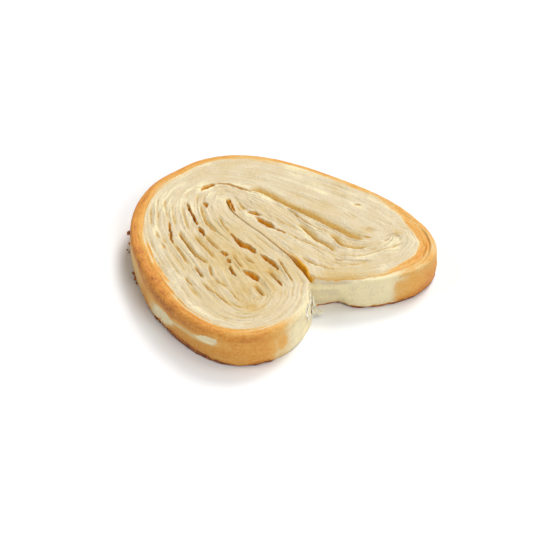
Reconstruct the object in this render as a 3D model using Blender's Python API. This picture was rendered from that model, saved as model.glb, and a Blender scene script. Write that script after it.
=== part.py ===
"""Palmier: a slice of a puff pastry roll, folded from both sides so that it bakes into a heart.

The slice lies flat. Its frame has +Z up, +Y from the notch of the heart to its round back and +X towards the
right-hand lobe, with the origin under the middle of the outline. All sizes below are in millimetres.

The sheet of dough runs round the heart from one side of the seam to the other. Lines across the sheet go
from the edge of the heart to the fold line in the middle of the sheet, and the layers follow loops between
the two. So the solid is one loft of closed loops: under side, wall, rounded rim, layers, fold line.
"""
import math

import bmesh
import bpy
import numpy as np

MM = 0.001
NAME = "palmier"

# Thickness of the slice, and how much the left lobe stands above it and the right lobe's inner end below it
THICKNESS = 12.9
LEFT_RISE = 1.1
LEFT_RISE_AT = (-32.0, -44.0)
LEFT_RISE_REACH = 24.0
RIGHT_FALL = 0.4
RIGHT_FALL_AT = (10.0, -44.0)
RIGHT_FALL_REACH = 13.0

# Edge of the heart, clockwise from the left side of the notch: x, y, and the percentage of the fold line
# that the edge faces there
EDGE = [
    (-4.3, -35.2, 0), (-6.8, -38.0, 0), (-10.8, -43.7, 0), (-19.2, -49.7, 0), (-30.2, -52.3, 0),
    (-40.9, -49.9, 0), (-48.8, -42.5, 0), (-52.7, -32.0, 0), (-53.7, -22.0, 0.5), (-53.2, -11.0, 9),
    (-51.4, 0.0, 20), (-47.5, 12.0, 28), (-43.5, 22.2, 33), (-36.6, 33.5, 37), (-27.0, 43.3, 41),
    (-15.4, 50.0, 45), (-3.0, 52.4, 48), (8.0, 52.9, 51), (19.1, 49.0, 55), (29.2, 40.3, 60),
    (37.5, 27.2, 66), (44.2, 11.6, 72), (49.6, -4.0, 80), (52.1, -16.6, 89), (52.1, -26.0, 98),
    (50.9, -35.8, 100), (45.4, -46.3, 100), (34.0, -51.4, 100), (22.0, -50.1, 100), (12.0, -46.0, 100),
    (3.4, -40.6, 100), (-1.4, -37.6, 100), (-3.3, -35.9, 100),
]

# Fold line, from the eye of the left lobe over the back to the eye of the right lobe
FOLD = [
    (-28.0, -32.0), (-24.0, -16.0), (-20.3, -2.0), (-19.2, 12.0), (-15.3, 25.0), (-8.0, 35.0), (0.5, 37.2),
    (7.6, 32.0), (13.5, 20.5), (18.0, 8.0), (20.5, -5.0), (24.0, -19.0), (30.0, -28.0), (38.0, -29.5),
]

# Seam where the lobes grew together, from the notch upwards: x, y, percentage that its left side faces, gap
# at the top and depth of the gap
SEAM = [
    (-3.8, -35.5, 0.0, 0.8, 1.0), (-3.0, -32.0, 2.0, 0.9, 2.0), (-1.9, -28.5, 4.0, 1.6, 6.0),
    (-1.5, -25.0, 6.2, 1.8, 6.5), (-0.8, -20.0, 10.0, 1.4, 6.0), (-0.9, -16.0, 12.5, 0.7, 4.0),
    (-1.1, -8.0, 17.5, 0.4, 1.8), (-1.2, 0.0, 22.2, 0.4, 1.5), (-1.9, 8.0, 27.0, 0.4, 1.5),
    (-1.7, 17.0, 33.2, 0.6, 3.0), (0.2, 23.5, 41.0, 0.8, 4.0), (0.9, 24.9, 50.0, 0.0, 2.5),
]
SEAM_UNDER = 0.4

# Grooves between the layers, as fractions of the way from the rim to the fold line
GROOVES = (0.0, 0.10, 0.24, 0.38, 0.51, 0.65, 0.78, 0.90)
GROOVE_WANDER = 0.012
GROOVE_HALF_WIDTH = 0.35
GROOVE_DEPTH = 0.6
OUTER_GROOVE_DEPTH = 0.15
LAYER_GAP = 0.35

# How much the layers stand above and below each other, near the edge and further in
OUTER_LEVELS = 0.2
INNER_LEVELS = 0.6
LEVELS_START = 6.0
LEVELS_FULL = 14.0

# Rounded rim of the crust: place round the loop and radius there, and the radius along the seam
RIMS = (
    (0.2, 0.7), (0.215, 1.4), (0.24, 2.5), (0.36, 2.6), (0.42, 1.6), (0.46, 1.0), (0.6, 1.0), (0.67, 1.8),
    (0.72, 1.6), (0.745, 0.9), (0.8, 0.7),
)
SEAM_RIM = 0.7
RIM_ANGLES = (0.0, 42.0)

# Wall, from its foot: fraction of the height below the rim, and how far it stands in from the edge there
WALL = ((0.0, 0.9), (0.06, 0.45), (0.2, 0.2), (0.45, 0.05), (0.75, 0.0))
FOOT_UNEVEN = 0.35

# How far the foot is tucked in at the right of the notch, and stands out at the left of it
RIGHT_TUCK = 6.0
RIGHT_TUCK_AT = (1.0, -38.0)
RIGHT_TUCK_REACH = 4.8
LEFT_FLARE = 1.8
LEFT_FLARE_AT = (-6.5, -39.0)
LEFT_FLARE_REACH = 7.0

# Under side, from the foot of the wall to the fold line: fraction of the way, and height
UNDER = ((0.28, 0.0), (0.33, 0.45), (0.38, 0.0), (0.64, 0.0), (0.69, 0.45), (0.74, 0.0))

# Slits and holes between the layers: start x and y, end x and y, width, depth
SLITS = [
    (-12.5, 31.0, -19.3, 12.5, 1.1, 5.5), (-20.1, 0.5, -21.4, -6.5, 1.2, 2.5),
    (-22.5, -9.5, -24.6, -18.0, 1.2, 5.0), (-24.5, 27.0, -32.0, 12.0, 0.7, 3.0),
    (-10.4, 5.0, -10.3, -9.0, 2.8, 6.5), (-9.5, -11.0, -8.5, -19.0, 2.0, 5.0),
    (-20.0, -14.0, -19.0, -22.5, 3.0, 5.5), (-13.0, -25.0, -14.2, -30.5, 1.1, 3.5),
    (-33.4, -3.0, -34.2, -8.5, 1.0, 1.5), (-28.5, 9.5, -28.9, 1.0, 1.0, 2.0),
    (-7.6, 28.0, -9.2, 24.0, 1.0, 2.0), (-22.5, -23.0, -22.6, -33.0, 1.0, 1.0),
    (-2.8, 36.8, 4.0, 36.6, 2.0, 3.5), (4.0, 36.2, 11.3, 24.5, 1.1, 3.0),
    (2.6, 15.0, 6.0, 10.2, 3.0, 5.5), (2.6, 9.0, 5.0, -1.0, 3.0, 6.5),
    (5.0, -1.5, 7.2, -7.0, 1.2, 2.0), (2.2, -22.0, 2.8, -27.0, 0.9, 1.0),
    (2.8, -27.0, 6.6, -33.7, 0.9, 1.0), (2.5, -38.8, 12.0, -44.7, 1.0, 2.0),
    (12.0, -44.7, 22.5, -48.7, 0.9, 1.5), (22.5, -48.7, 36.0, -49.8, 0.9, 1.2),
    (36.0, -49.8, 44.3, -45.3, 0.9, 0.9), (44.3, -45.3, 49.8, -36.0, 0.9, 0.8),
]

# Ledges, where the layer on the right of a line has sunk: start x and y, end x and y, reach, drop
LEDGES = [
    (13.4, 20.5, 18.0, 8.0, 4.5, 1.1), (18.0, 8.0, 21.4, -9.0, 4.5, 1.5),
    (21.4, -9.0, 26.5, -25.0, 4.0, 0.9), (11.4, 1.0, 12.3, -12.0, 3.0, 0.9),
    (12.3, -12.0, 14.6, -21.5, 3.0, 1.1), (14.8, 8.0, 16.5, -4.0, 2.5, 0.8),
    (16.5, -4.0, 18.3, -15.0, 2.5, 0.8), (-30.2, 13.0, -29.6, -4.0, 3.0, 0.8),
    (-25.8, 6.0, -26.4, -14.0, 2.5, 0.6),
]
FEATURE_END = 1.8
FEATURE_SIDE = 1.3
PULL_COLUMNS = 5
FOLD_REACH = 2.5

# Columns along the fold line, and round each tip, and steps between the points of a curve
FOLD_COLUMNS = 54
TIP_COLUMNS = 13
CURVE_STEPS = 12

CRUST_COLOUR = (0.80, 0.50, 0.20, 1.0)
CRUST_ROUGHNESS = 0.55
SHARP_ANGLE = math.radians(50)


def curve(points):
    """Smooth curve through the rows of points."""
    rows = np.array(points, float)
    padded = np.vstack([2 * rows[0] - rows[1], rows, 2 * rows[-1] - rows[-2]])
    t = np.linspace(0, 1, CURVE_STEPS, endpoint=False)[:, None]
    pieces = []
    for a, b, c, d in zip(padded, padded[1:], padded[2:], padded[3:]):
        bend = (2 * a - 5 * b + 4 * c - d) * t ** 2 + (3 * b - a - 3 * c + d) * t ** 3
        pieces.append(b + 0.5 * ((c - a) * t + bend))
    return np.vstack(pieces + [rows[-1:]])


def facing_curve(points):
    """Smooth curve whose third column, the percentage of the fold line faced, never falls."""
    line = curve(points)
    line[:, 2] = np.maximum.accumulate(np.clip(line[:, 2], 0, 100))
    return line


def lengths(line):
    """Distance along a line at each of its points."""
    return np.r_[0, np.cumsum(np.hypot(*np.diff(line[:, :2], axis=0).T))]


def at(line, measure, values):
    """Points of a line where a measure along it has the given values."""
    return np.c_[np.interp(values, measure, line[:, 0]), np.interp(values, measure, line[:, 1])]


def spread(line):
    """Points at equal distances along a tip's edge, without its two ends, and their fractions of the way."""
    fractions = np.linspace(0, 1, TIP_COLUMNS + 1)[1:-1]
    distance = lengths(line)
    return at(line, distance, fractions * distance[-1]), fractions


def seam_curve():
    """Line up the left side of the seam, round its end and down the right side."""
    left = [(x - gap / 2, y, facing) for x, y, facing, gap, _ in SEAM]
    right = [(x + gap / 2, y, 100 - facing) for x, y, facing, gap, _ in SEAM[:-1]]
    return facing_curve(left + right[::-1])


class Sheet:
    """Lines across the sheet, in a loop from the seam's end down its left side, clockwise round and back.

    Each line has an edge end, a fold end, the number of its place on the fold line, and a turn from 0 to 1
    round the loop, which everything uneven follows.
    """

    def __init__(self):
        fold = curve(FOLD)
        edge = facing_curve(EDGE)
        seam = seam_curve()
        first = int(np.nonzero(edge[:, 2] > 0)[0][0]) - 1
        last = int(np.nonzero(edge[:, 2] >= 100)[0][0])
        places = np.arange(FOLD_COLUMNS + 1)
        share = places / FOLD_COLUMNS
        half = FOLD_COLUMNS // 2
        inner = at(seam, seam[:, 2], 100 * share)
        outer = at(edge[first:last + 1], edge[first:last + 1, 2], 100 * share)
        left_tip, tip_share = spread(edge[:first + 1])
        right_tip, _ = spread(edge[last:])
        self.fold_line = at(fold, lengths(fold), share * lengths(fold)[-1])
        self.edge = np.vstack([inner[half::-1], left_tip, outer, right_tip, inner[:half:-1]])
        self.place = np.r_[places[half::-1], 0 * tip_share, places, 0 * tip_share + FOLD_COLUMNS,
                           places[:half:-1]].astype(int)
        self.turn = np.r_[0.2 - 0.4 * share[half::-1], 0.2 + 0.1 * tip_share, 0.3 + 0.4 * share,
                          0.7 + 0.1 * tip_share, 1.2 - 0.4 * share[:half:-1]]
        self.inner = np.r_[np.ones(half + 1), 0 * tip_share, 0 * share, 0 * tip_share, np.ones(half)]
        self.left = np.r_[np.ones(half + 1), 1 + 0 * tip_share, share < 0.5, 0 * tip_share, np.zeros(half)]
        self.width = np.hypot(*(self.fold_line[self.place] - self.edge).T)
        self.across = (self.fold_line[self.place] - self.edge) / self.width[:, None]
        self.middle = (edge[:, :2].max(axis=0) + edge[:, :2].min(axis=0)) / 2
        count = len(self.edge)
        self.outside = np.arange(half, count - half + 1)
        self.seam_path = np.r_[count - half:count, 0:half + 1]

    def point(self, inset):
        """Places at the given distances in from the edge."""
        return self.edge + self.across * inset[:, None]


def wave(seed, turn, first=3, last=14):
    """Seeded uneven wave round the loop, roughly between -1 and 1."""
    rng = np.random.default_rng(seed)
    total = np.zeros_like(turn)
    for cycles in range(first, last):
        total += rng.normal() * np.cos(2 * math.pi * (cycles * turn + rng.random()))
    return total / math.sqrt(last - first)


def mound(xy, centre, reach):
    """Smooth mound, 1 at its centre."""
    return np.exp(-((xy - centre) ** 2).sum(axis=-1) / (2 * reach ** 2))


def ramp(value, start, end):
    """Smooth rise from 0 at start to 1 at end."""
    share = np.clip((value - start) / (end - start), 0, 1)
    return share * share * (3 - 2 * share)


def thickness(xy):
    """Height of the slice's top face at a place, before the layers' own levels."""
    rise = LEFT_RISE * mound(xy, LEFT_RISE_AT, LEFT_RISE_REACH)
    return THICKNESS + rise - RIGHT_FALL * mound(xy, RIGHT_FALL_AT, RIGHT_FALL_REACH)


def beside(xy, feature):
    """How surely places lie between a feature's ends, and how far to the right of its line they are."""
    start = np.array(feature[:2])
    axis = np.array(feature[2:4]) - start
    length = np.hypot(*axis)
    axis = axis / length
    run = (xy - start) @ axis
    right = (xy - start) @ (np.array([axis[1], -axis[0]]) * (1 if axis[1] > 0 else -1))
    overshoot = np.maximum(np.maximum(-run, run - length), 0)
    return np.clip(1 - overshoot / FEATURE_END, 0, 1), right


def rim_radius(sheet):
    """Radius of the rounded rim at each column: small where the lobes face each other over the seam."""
    return np.where(sheet.inner > 0, SEAM_RIM, np.interp(sheet.turn, *np.array(RIMS).T))


def pull_groove(places, sheet, feature):
    """Move the nearest groove onto a slit or ledge, easing back to its own place beyond the ends.

    What lies within reach of the fold line needs no groove moved, because the fold line has its own.
    """
    hits = {}
    for mix in np.linspace(0, 1, 25):
        offset = np.array(feature[:2]) * (1 - mix) + np.array(feature[2:4]) * mix - sheet.edge
        inset = (offset * sheet.across).sum(axis=1)
        miss = np.abs(offset[:, 0] * sheet.across[:, 1] - offset[:, 1] * sheet.across[:, 0])
        miss[(inset < 0) | (inset > sheet.width)] = np.inf
        column = int(np.argmin(miss))
        hits[column] = inset[column]
    columns = sorted(hits)
    if max(sheet.width[column] - hits[column] for column in columns) < FOLD_REACH:
        return
    middle = columns[len(columns) // 2]
    groove = int(np.argmin(np.abs(places[:, middle] - hits[middle])))
    for column in range(columns[0] - PULL_COLUMNS, columns[-1] + PULL_COLUMNS + 1):
        nearest = min(max(column, columns[0]), columns[-1])
        shift = np.interp(nearest, columns, [hits[c] for c in columns]) - places[groove, nearest]
        hold = 1 - abs(column - nearest) / (PULL_COLUMNS + 1)
        places[groove, column % len(sheet.width)] += hold * shift


def groove_table(sheet):
    """For each groove and column: distance in from the edge, half width and depth."""
    rim = rim_radius(sheet)
    room = sheet.width - rim
    wander = [GROOVE_WANDER * wave(40 + n, sheet.turn) * (share > 0) for n, share in enumerate(GROOVES)]
    places = np.array([rim + room * (share + shift) for share, shift in zip(GROOVES, wander)])
    for feature in SLITS + LEDGES:
        pull_groove(places, sheet, feature)
    half_widths = np.full_like(places, GROOVE_HALF_WIDTH)
    inward = ramp(places, LEVELS_START, LEVELS_FULL)
    uneven = np.array([0.6 + 0.4 * wave(60 + n, sheet.turn) for n in range(len(GROOVES))])
    depths = OUTER_GROOVE_DEPTH + (GROOVE_DEPTH - OUTER_GROOVE_DEPTH) * inward * np.clip(uneven, 0.1, 1)
    for n in range(len(GROOVES)):
        cut_slits(sheet.point(places[n]), half_widths[n], depths[n])
    return keep_apart(places, half_widths, sheet.width), half_widths, depths


def cut_slits(xy, half_widths, depths):
    """Widen and deepen a groove where it runs through a slit."""
    for feature in SLITS:
        between, right = beside(xy, feature)
        share = between * np.clip(2 - np.abs(right) / FEATURE_SIDE, 0, 1)
        np.maximum(half_widths, share * feature[4] / 2, out=half_widths)
        np.maximum(depths, share * feature[5], out=depths)


def keep_apart(places, half_widths, width):
    """Push neighbouring grooves apart until a thin layer fits between them."""
    for _ in range(30):
        for n in range(len(places) - 1):
            short = places[n] + half_widths[n] + half_widths[n + 1] + LAYER_GAP - places[n + 1]
            push = np.maximum(short, 0) / 2
            places[n] -= push
            places[n + 1] += push
        np.minimum(places[-1], width - half_widths[-1] - GROOVE_HALF_WIDTH - LAYER_GAP, out=places[-1])
    return places


def level(sheet, xy, inset, number):
    """Height of a layer's lip: the top face, the layer's own level, and the ledges it has sunk from."""
    swing = OUTER_LEVELS + (INNER_LEVELS - OUTER_LEVELS) * ramp(inset, LEVELS_START, LEVELS_FULL)
    height = thickness(xy) + swing * wave(80 + number, sheet.turn)
    for feature in LEDGES:
        between, right = beside(xy, feature)
        height = height - feature[5] * between * (right > 0) * np.clip(1 - right / feature[4], 0, 1)
    return height


def rows_of_top(sheet):
    """Rows from the top of the wall to the fold line: rounded rim, then lips and grooves in turn."""
    rim = rim_radius(sheet)
    places, half_widths, depths = groove_table(sheet)
    rows = []
    for angle in RIM_ANGLES:
        inset = rim * (1 - math.cos(math.radians(angle)))
        drop = rim * (1 - math.sin(math.radians(angle)))
        rows.append((sheet.point(inset), thickness(sheet.point(inset)) - drop))
    for n, (place, half_width, depth) in enumerate(zip(places, half_widths, depths)):
        before, after = place - half_width, place + half_width
        before_lip = level(sheet, sheet.point(before), before, 2 * n)
        after_lip = level(sheet, sheet.point(after), after, 2 * n + 1)
        rows.append((sheet.point(before), before_lip))
        rows.append((sheet.point(place), np.minimum(before_lip, after_lip) - depth))
        rows.append((sheet.point(after), after_lip))
    half_width = np.full_like(rim, GROOVE_HALF_WIDTH)
    fold_depth = np.full_like(rim, GROOVE_DEPTH)
    cut_slits(sheet.fold_line[sheet.place], half_width, fold_depth)
    last = sheet.width - half_width
    rows.append((sheet.point(last), level(sheet, sheet.point(last), last, 2 * len(places))))
    return rows


def fold_heights(sheet):
    """Height of the bottom of the groove along the fold line."""
    depth = np.full(len(sheet.fold_line), GROOVE_DEPTH)
    cut_slits(sheet.fold_line, depth.copy(), depth)
    return thickness(sheet.fold_line) - depth


def rows_of_wall(sheet):
    """Rows up the wall, from its uneven foot to just below the rim."""
    top = thickness(sheet.edge) - rim_radius(sheet)
    tuck = RIGHT_TUCK * mound(sheet.edge, RIGHT_TUCK_AT, RIGHT_TUCK_REACH) * (1 - sheet.left)
    flare = LEFT_FLARE * mound(sheet.edge, LEFT_FLARE_AT, LEFT_FLARE_REACH) * sheet.left
    rows = []
    for number, (height, inset) in enumerate(WALL):
        low = (1 - height) ** 1.5
        uneven = FOOT_UNEVEN * low * wave(20 + number, sheet.turn, 10, 40)
        rows.append((sheet.point(inset + uneven + (tuck - flare) * low), top * height))
    return rows


def seam_line(sheet):
    """Line midway between the seam's sides, from the notch's first column upwards, and the gap's depth."""
    path = sheet.edge[sheet.seam_path]
    half = len(path) // 2
    line = (path[1:half + 1] + path[:half - 1:-1][1:]) / 2
    facing = 50 * np.arange(1, half + 1) / half
    rows = np.array(SEAM)
    return line, np.interp(facing, rows[:, 2], rows[:, 4])


def ring(mesh, sheet, xy, heights):
    """One loop of vertices."""
    shifted = xy - sheet.middle
    return [mesh.verts.new((x * MM, y * MM, z * MM)) for (x, y), z in zip(shifted, heights)]


def bridge(mesh, lower, upper):
    """Faces between two loops, with triangles where the upper loop's vertices coincide."""
    for n in range(len(lower)):
        after = (n + 1) % len(lower)
        corners = [lower[after], lower[n], upper[n], upper[after]]
        mesh.faces.new(corners[:3] if corners[2] is corners[3] else corners)


def share_seam(sheet, own, shared):
    """A loop's vertices, with both sides of the seam taken from one line but for its two ends."""
    last = 2 * len(shared)
    loop = list(own)
    for step, column in enumerate(sheet.seam_path[1:-1], start=1):
        loop[column] = shared[min(step, last - step) - 1]
    return loop


def close_seam(mesh, sheet, loop, shared):
    """Faces from the two sides of the seam down to the line where they meet."""
    path = [loop[column] for column in sheet.seam_path]
    last = len(path) - 1
    for step in range(last):
        depths = [min(step + 1, last - step - 1), min(step, last - step)]
        mesh.faces.new([path[step], path[step + 1]] + [shared[n - 1] for n in depths if n > 0])
    mesh.faces.new([path[0], path[-1], shared[0]])


def add_under_side(mesh, sheet, foot, foot_ring):
    """Under side: lands and shallow grooves from the foot of the wall to the fold line."""
    line, _ = seam_line(sheet)
    seam_low = ring(mesh, sheet, line, np.full(len(line), SEAM_UNDER))
    start = foot.copy()
    start[sheet.inner > 0] = sheet.edge[sheet.inner > 0]
    loop = share_seam(sheet, foot_ring, seam_low)
    mesh.faces.new([foot_ring[sheet.seam_path[0]], foot_ring[sheet.seam_path[-1]], seam_low[0]])
    fold = sheet.fold_line[sheet.place]
    for share, height in UNDER:
        row = ring(mesh, sheet, start + (fold - start) * share, np.full(len(start), height))
        bridge(mesh, row, loop)
        loop = row
    low_fold = ring(mesh, sheet, sheet.fold_line, np.zeros(len(sheet.fold_line)))
    bridge(mesh, loop, [low_fold[n] for n in sheet.place])


def slice_mesh():
    """The whole slice as one closed mesh."""
    sheet = Sheet()
    mesh = bmesh.new()
    wall = rows_of_wall(sheet)
    wall_rings = [ring(mesh, sheet, xy[sheet.outside], z[sheet.outside]) for xy, z in wall]
    foot_ring = dict(zip(sheet.outside, wall_rings[0]))
    top_rings = [ring(mesh, sheet, xy, z) for xy, z in rows_of_top(sheet)]
    add_under_side(mesh, sheet, wall[0][0], [foot_ring.get(n) for n in range(len(sheet.edge))])
    for lower, upper in zip(wall_rings, wall_rings[1:] + [[top_rings[0][n] for n in sheet.outside]]):
        bridge(mesh, lower, upper)
    line, depth = seam_line(sheet)
    close_seam(mesh, sheet, top_rings[0], ring(mesh, sheet, line, thickness(line) - depth))
    for lower, upper in zip(top_rings, top_rings[1:]):
        bridge(mesh, lower, upper)
    top_fold = ring(mesh, sheet, sheet.fold_line, fold_heights(sheet))
    bridge(mesh, top_rings[-1], [top_fold[n] for n in sheet.place])
    bmesh.ops.recalc_face_normals(mesh, faces=mesh.faces)
    bmesh.ops.triangulate(mesh, faces=mesh.faces)
    return mesh


def crust_material():
    """Baked puff pastry."""
    material = bpy.data.materials.new("crust")
    material.use_nodes = True
    shader = material.node_tree.nodes["Principled BSDF"]
    shader.inputs["Base Color"].default_value = CRUST_COLOUR
    shader.inputs["Roughness"].default_value = CRUST_ROUGHNESS
    shader.inputs["Metallic"].default_value = 0.0
    return material


def build():
    """Clear the scene and add the palmier."""
    for old in list(bpy.data.objects):
        bpy.data.objects.remove(old)
    collection = bpy.data.collections.new(NAME)
    bpy.context.scene.collection.children.link(collection)
    mesh = bpy.data.meshes.new(NAME)
    body = slice_mesh()
    body.to_mesh(mesh)
    body.free()
    mesh.materials.append(crust_material())
    mesh.shade_smooth()
    mesh.set_sharp_from_angle(angle=SHARP_ANGLE)
    collection.objects.link(bpy.data.objects.new(NAME, mesh))


build()
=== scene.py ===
"""Looks of the palmier: flaky layers, browned crust, torn flakes and crumbs, on a pale floor in soft light.

The pastry is made again from the sizes that its solid is made from, in millimetres, with many more columns
and rows. Lines across the sheet of dough go from the edge of the heart to the fold line in its middle, the
layers follow the loops between the two, and holes and valleys are carved along short paths. Every uneven
thing is a seeded wave, field or lattice.
"""
import math

import bmesh
import bpy
import numpy as np
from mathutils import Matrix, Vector


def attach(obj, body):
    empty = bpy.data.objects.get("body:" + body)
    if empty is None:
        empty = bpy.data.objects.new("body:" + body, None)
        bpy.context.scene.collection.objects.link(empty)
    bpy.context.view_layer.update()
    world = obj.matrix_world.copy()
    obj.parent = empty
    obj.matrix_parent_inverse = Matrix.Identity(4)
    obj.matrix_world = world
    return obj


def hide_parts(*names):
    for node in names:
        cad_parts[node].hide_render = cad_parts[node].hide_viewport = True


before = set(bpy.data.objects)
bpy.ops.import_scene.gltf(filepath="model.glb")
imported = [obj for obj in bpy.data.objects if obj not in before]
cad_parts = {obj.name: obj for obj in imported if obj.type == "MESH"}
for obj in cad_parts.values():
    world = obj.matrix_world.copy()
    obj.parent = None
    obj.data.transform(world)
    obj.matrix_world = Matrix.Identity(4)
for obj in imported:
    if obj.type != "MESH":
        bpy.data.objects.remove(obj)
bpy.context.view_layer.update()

MM = 0.001
NODE = "palmier"
BODY = "root"

# What each vertex carries: how browned it is, how amber from its own tone and from painted shade, how deep
# the amber painted as warm shade in holes and the seam is, and its place across and along the layers
LOOKS = ("toast", "amber", "pit", "cross", "run")

# Turns round the loop where the left tip, the back and the right tip start, and what a tip and the back span
LEFT_TIP = 0.2
BACK = 0.3
RIGHT_TIP = 0.7
TIP_SPAN = 0.1
BACK_SPAN = 0.4

# Thickness of the slice, and place, reach and height of the left lobe's rise above it and of the fall of the
# right lobe's inner end below it
THICKNESS = 12.9
RISES = (((-32, -44), 24, 1.1), ((10, -44), 13, -0.4))

# Edge of the heart, clockwise from the left side of the notch: x, y, and the percentage of the fold line
# that the edge faces there
EDGE = [
    (-4.3, -35.2, 0), (-6.8, -38, 0), (-10.8, -43.7, 0), (-19.2, -49.7, 0), (-30.2, -52.3, 0),
    (-40.9, -49.9, 0), (-48.8, -42.5, 0), (-52.7, -32, 0), (-53.7, -22, 0.5), (-53.2, -11, 9), (-51.4, 0, 20),
    (-47.5, 12, 28), (-43.5, 22.2, 33), (-36.6, 33.5, 37), (-27, 43.3, 41), (-15.4, 50, 45), (-3, 52.4, 48),
    (8, 52.9, 51), (19.1, 49, 55), (29.2, 40.3, 60), (37.5, 27.2, 66), (44.2, 11.6, 72), (49.6, -4, 80),
    (52.1, -16.6, 89), (52.1, -26, 98), (50.9, -35.8, 100), (45.4, -46.3, 100), (34, -51.4, 100),
    (22, -50.1, 100), (12, -46, 100), (3.4, -40.6, 100), (-1.4, -37.6, 100), (-3.3, -35.9, 100),
]

# Fold line, from the eye of the left lobe over the back to the eye of the right lobe
FOLD = [
    (-28, -32), (-24, -16), (-20.3, -2), (-19.2, 12), (-15.3, 25), (-8, 35), (0.5, 37.2), (7.6, 32),
    (13.5, 20.5), (18, 8), (20.5, -5), (24, -19), (30, -28), (38, -29.5),
]

# Seam where the lobes grew together, from the notch upwards: x, y, percentage that its left side faces, gap
# at the top and depth of the gap
SEAM = [
    (-3.8, -35.5, 0, 0.8, 1), (-3, -32, 2, 0.9, 2), (-1.9, -28.5, 4, 1.6, 6), (-1.5, -25, 6.2, 1.8, 6.5),
    (-0.8, -20, 10, 1.4, 6), (-0.9, -16, 12.5, 0.7, 4), (-1.1, -8, 17.5, 0.4, 1.8), (-1.2, 0, 22.2, 0.4, 1.5),
    (-1.9, 8, 27, 0.4, 1.5), (-1.7, 17, 33.2, 0.6, 3), (0.2, 23.5, 41, 0.8, 4), (0.9, 24.9, 50, 0, 2.5),
]

# Deep amber painted as shade into the opening of the seam, round the loop
SEAM_SHADE = (
    (0, 0.3), (0.12, 0), (0.16, 0.3), (0.184, 0.4), (0.195, 0), (0.5, 0), (0.79, 0.4), (0.8, 1), (0.83, 1),
    (0.85, 0.5), (0.9, 0.2), (1, 0.3),
)

# Lines between the layers, as fractions of the way from the rim to the fold line: furrows with lips beside
# them and steps from layer to layer, and finer furrows at random places
LINES = (0.07, 0.16, 0.25, 0.34, 0.43, 0.52, 0.61, 0.7, 0.79, 0.88)
LINE_WIDTH = 0.45
LINE_DEPTH = 0.34
LINE_STRENGTH = 0.5
LINE_STRONGEST = 1.3
LINE_LIP = 0.1
LINE_LIP_AT = 0.85
LINE_LIP_WIDTH = 0.35
STEP_HALF = 0.3
STEP_FADE = 0.08
FINE_LINES = 30
FINE_LINE_SEED = 900
FINE_DEPTH = 0.12
FINE_WIDTH = 0.28

# Waves round the loop: seed, strength, and fewest and most cycles
WAVES = {
    "line_wander": (40, 0.016, 3, 14), "line_strength": (60, 0.6, 4, 18), "line_step": (80, 0.34, 3, 14),
    "line_wiggle": (700, 0.06, 40, 110), "line_jitter": (730, 0.06, 110, 200),
    "fine_wander": (930, 0.02, 3, 14), "fine_wiggle": (960, 0.07, 60, 160),
    "fine_strength": (990, 1.1, 5, 26), "wall_toast": (304, 0.05, 6, 30), "band_width": (300, 0.1, 5, 40),
}

# Streaks along the layers: seed, strength, and size of their cells along and across the layers
STREAKS = {
    "fine": (1, 0.07, 7, 0.8), "finest": (2, 0.045, 2.5, 0.45), "broad": (3, 0.26, 20, 3.2),
    "amber": (9, 0.1, 9, 1.2), "wall_lumps": (11, 0.3, 12, 6), "wall_grain": (12, 0.1, 2.6, 1.6),
    "wall_foot": (13, 0.45, 1.8, 0.6), "wall_flakes": (14, 1, 3, 1.3), "wall_amber": (23, 0.05, 2.5, 9),
    "wall_threads": (24, 0.04, 9, 1.2), "wall_patches": (303, 0.22, 4, 2), "scorch": (305, 0.6, 1.3, 0.7),
    "band_edge": (301, 1.2, 16, 0.5), "band_mottle": (302, 0.1, 5, 1), "band_grain": (306, 0.08, 2.2, 0.6),
    "under": (21, 1, 12, 3), "under_toast": (22, 0.12, 8, 4),
}

# Fields over the floor: seed, strength and size of their cells
LATTICES = {
    "tear": (5, 1, 1.1), "jags": (15, 0.22, 0.6), "broad": (6, 0.1, 6), "lumps": (16, 0.14, 2.6),
    "small_lumps": (17, 0.07, 1.4), "grain": (7, 0.05, 0.8), "amber": (8, 0.1, 5),
}

# Distances from the edge, the rim or the fold line over which the parts of the relief, the amber and the
# painted shade grow
INWARD = (0.3, 3)
CARVING_INWARD = (0.2, 0.8)
AMBER_INWARD = (0.3, 1.5)
SEAM_SHADE_INWARD = (0.5, 1.6)
LINES_FROM_RIM = (0, 0.8)
LINES_FROM_FOLD = (0.1, 1)
STREAKS_FROM_FOLD = (0, 1.5)

# How much softer the lines are along the seam, and the least share of the fine lines, streaks and lumps where
# the layers are faint, of the streaks beside holes, and of the relief at the edge
INNER_SOFTNESS = 0.55
FAINT_FINE_LINES = 0.35
FAINT_STREAKS = 0.4
FAINT_LUMPS = 0.35
CALM_STREAKS = 0.3
RIM_RELIEF = 0.12

# Amber of the top: its own tone everywhere, painted shade where it is sunk, and a painted highlight, less
# amber, where it is raised, against the height round about
TOP_AMBER = 0.15
SUNK_SHADE = (0.02, 0.7)
RAISED_HIGHLIGHT = (0, 0.5)
RAISED_HIGHLIGHT_STRENGTH = 0.15
AVERAGE_CELL = 0.5
AVERAGE_REACH = 3

# How boldly the layers stand out, round the loop
BOLDNESS = (
    (0, 0.75), (0.2, 0.8), (0.25, 0.5), (0.3, 0.75), (0.42, 0.8), (0.47, 0.4), (0.52, 0.22), (0.66, 0.22),
    (0.72, 0.4), (0.8, 0.75), (0.9, 0.8), (1, 0.75),
)

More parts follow.
